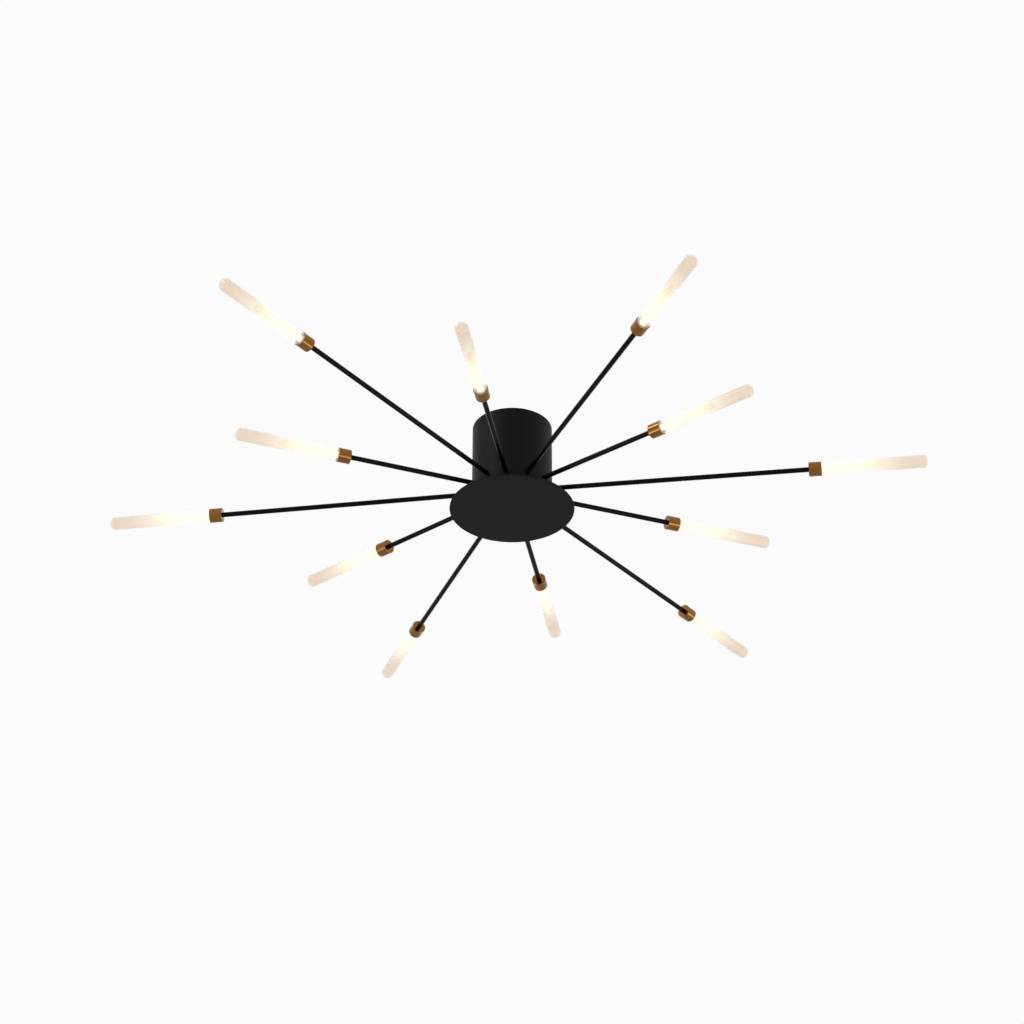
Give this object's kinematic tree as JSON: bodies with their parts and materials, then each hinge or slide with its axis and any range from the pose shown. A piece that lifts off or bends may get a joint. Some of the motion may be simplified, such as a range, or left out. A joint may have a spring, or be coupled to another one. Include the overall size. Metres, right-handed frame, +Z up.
{
  "type": "flush ceiling light",
  "caption": "Flush ceiling light: black drum and disc with straight rods radiating like a star, each ending in a brass cup with a lamp in a frosted tube.",
  "frame": {"origin": "middle of the ceiling plate's upper face, on the drum's axis, where the light meets the ceiling", "axes": "+Z up into the ceiling; the light hangs below z = 0; -Y is the side the picture was taken from"},
  "size_m": [0.9904, 0.9338, 0.1158],
  "materials": {
    "black_paint": "matte",
    "brass": "satin",
    "frosted_tube": "frosted",
    "lamp": "glowing warm white",
    "socket": "matte",
    "hub_metal": "turned",
    "steel": "zinc plated",
    "board": "satin",
    "driver_case": "satin",
    "lead_sheath": "matte"
  },
  "bodies": {
    "fixture": {"canopy_drum": "black_paint", "bottom_disc": "black_paint", "arm_hub": "hub_metal", "junction_board": "board", "stud_nuts": "steel", "arm_lock_nuts": "steel", "lamp_sockets": "socket", "arm_leads": "lead_sheath", "ceiling_plate": "steel", "driver_screws": "steel", "canopy_screws": "black_paint", "led_driver": "driver_case", "arm_rod_01": "black_paint", "arm_rod_02": "black_paint", "arm_rod_03": "black_paint", "arm_rod_04": "black_paint", "arm_rod_05": "black_paint", "arm_rod_06": "black_paint", "arm_rod_07": "black_paint", "arm_rod_08": "black_paint", "arm_rod_09": "black_paint", "arm_rod_10": "black_paint", "arm_rod_11": "black_paint", "arm_rod_12": "black_paint", "arm_cup_01": "brass", "arm_cup_02": "brass", "arm_cup_03": "brass", "arm_cup_04": "brass", "arm_cup_05": "brass", "arm_cup_06": "brass", "arm_cup_07": "brass", "arm_cup_08": "brass", "arm_cup_09": "brass", "arm_cup_10": "brass", "arm_cup_11": "brass", "arm_cup_12": "brass"},
    "tube_01": {"diffuser_tube_01": "frosted_tube"},
    "lamp_01": {"led_lamp_01": "lamp"},
    "tube_02": {"diffuser_tube_02": "frosted_tube"},
    "lamp_02": {"led_lamp_02": "lamp"},
    "tube_03": {"diffuser_tube_03": "frosted_tube"},
    "lamp_03": {"led_lamp_03": "lamp"},
    "tube_04": {"diffuser_tube_04": "frosted_tube"},
    "lamp_04": {"led_lamp_04": "lamp"},
    "tube_05": {"diffuser_tube_05": "frosted_tube"},
    "lamp_05": {"led_lamp_05": "lamp"},
    "tube_06": {"diffuser_tube_06": "frosted_tube"},
    "lamp_06": {"led_lamp_06": "lamp"},
    "tube_07": {"diffuser_tube_07": "frosted_tube"},
    "lamp_07": {"led_lamp_07": "lamp"},
    "tube_08": {"diffuser_tube_08": "frosted_tube"},
    "lamp_08": {"led_lamp_08": "lamp"},
    "tube_09": {"diffuser_tube_09": "frosted_tube"},
    "lamp_09": {"led_lamp_09": "lamp"},
    "tube_10": {"diffuser_tube_10": "frosted_tube"},
    "lamp_10": {"led_lamp_10": "lamp"},
    "tube_11": {"diffuser_tube_11": "frosted_tube"},
    "lamp_11": {"led_lamp_11": "lamp"},
    "tube_12": {"diffuser_tube_12": "frosted_tube"},
    "lamp_12": {"led_lamp_12": "lamp"}
  },
  "joints": [
    {"name": "pull_tube_01", "type": "slide", "parent": "fixture", "child": "tube_01", "axis": [0.9893, -0.1461, -0.0052], "range_m": [0, 0.095]},
    {"name": "unplug_lamp_01", "type": "slide", "parent": "fixture", "child": "lamp_01", "axis": [0.9893, -0.1461, -0.0052], "range_m": [0, 0.01]},
    {"name": "pull_tube_02", "type": "slide", "parent": "fixture", "child": "tube_02", "axis": [0.9276, 0.3729, 0.0209], "range_m": [0, 0.095]},
    {"name": "unplug_lamp_02", "type": "slide", "parent": "fixture", "child": "lamp_02", "axis": [0.9276, 0.3729, 0.0209], "range_m": [0, 0.01]},
    {"name": "pull_tube_03", "type": "slide", "parent": "fixture", "child": "tube_03", "axis": [0.6225, 0.7826, -0.0087], "range_m": [0, 0.095]},
    {"name": "unplug_lamp_03", "type": "slide", "parent": "fixture", "child": "lamp_03", "axis": [0.6225, 0.7826, -0.0087], "range_m": [0, 0.01]},
    {"name": "pull_tube_04", "type": "slide", "parent": "fixture", "child": "tube_04", "axis": [0.1668, 0.9859, -0.0105], "range_m": [0, 0.095]},
    {"name": "unplug_lamp_04", "type": "slide", "parent": "fixture", "child": "lamp_04", "axis": [0.1668, 0.9859, -0.0105], "range_m": [0, 0.01]},
    {"name": "pull_tube_05", "type": "slide", "parent": "fixture", "child": "tube_05", "axis": [-0.3404, 0.9402, 0.0122], "range_m": [0, 0.095]},
    {"name": "unplug_lamp_05", "type": "slide", "parent": "fixture", "child": "lamp_05", "axis": [-0.3404, 0.9402, 0.0122], "range_m": [0, 0.01]},
    {"name": "pull_tube_06", "type": "slide", "parent": "fixture", "child": "tube_06", "axis": [-0.7476, 0.6637, 0.0244], "range_m": [0, 0.095]},
    {"name": "unplug_lamp_06", "type": "slide", "parent": "fixture", "child": "lamp_06", "axis": [-0.7476, 0.6637, 0.0244], "range_m": [0, 0.01]},
    {"name": "pull_tube_07", "type": "slide", "parent": "fixture", "child": "tube_07", "axis": [-0.99, 0.1409, -0.0105], "range_m": [0, 0.095]},
    {"name": "unplug_lamp_07", "type": "slide", "parent": "fixture", "child": "lamp_07", "axis": [-0.99, 0.1409, -0.0105], "range_m": [0, 0.01]},
    {"name": "pull_tube_08", "type": "slide", "parent": "fixture", "child": "tube_08", "axis": [-0.9373, -0.3486, 0.0035], "range_m": [0, 0.095]},
    {"name": "unplug_lamp_08", "type": "slide", "parent": "fixture", "child": "lamp_08", "axis": [-0.9373, -0.3486, 0.0035], "range_m": [0, 0.01]},
    {"name": "pull_tube_09", "type": "slide", "parent": "fixture", "child": "tube_09", "axis": [-0.6407, -0.7662, 0.0488], "range_m": [0, 0.095]},
    {"name": "unplug_lamp_09", "type": "slide", "parent": "fixture", "child": "lamp_09", "axis": [-0.6407, -0.7662, 0.0488], "range_m": [0, 0.01]},
    {"name": "pull_tube_10", "type": "slide", "parent": "fixture", "child": "tube_10", "axis": [-0.165, -0.9862, -0.0105], "range_m": [0, 0.095]},
    {"name": "unplug_lamp_10", "type": "slide", "parent": "fixture", "child": "lamp_10", "axis": [-0.165, -0.9862, -0.0105], "range_m": [0, 0.01]},
    {"name": "pull_tube_11", "type": "slide", "parent": "fixture", "child": "tube_11", "axis": [0.3859, -0.9225, -0.0017], "range_m": [0, 0.095]},
    {"name": "unplug_lamp_11", "type": "slide", "parent": "fixture", "child": "lamp_11", "axis": [0.3859, -0.9225, -0.0017], "range_m": [0, 0.01]},
    {"name": "pull_tube_12", "type": "slide", "parent": "fixture", "child": "tube_12", "axis": [0.7922, -0.6101, 0.0105], "range_m": [0, 0.095]},
    {"name": "unplug_lamp_12", "type": "slide", "parent": "fixture", "child": "lamp_12", "axis": [0.7922, -0.6101, 0.0105], "range_m": [0, 0.01]}
  ]
}
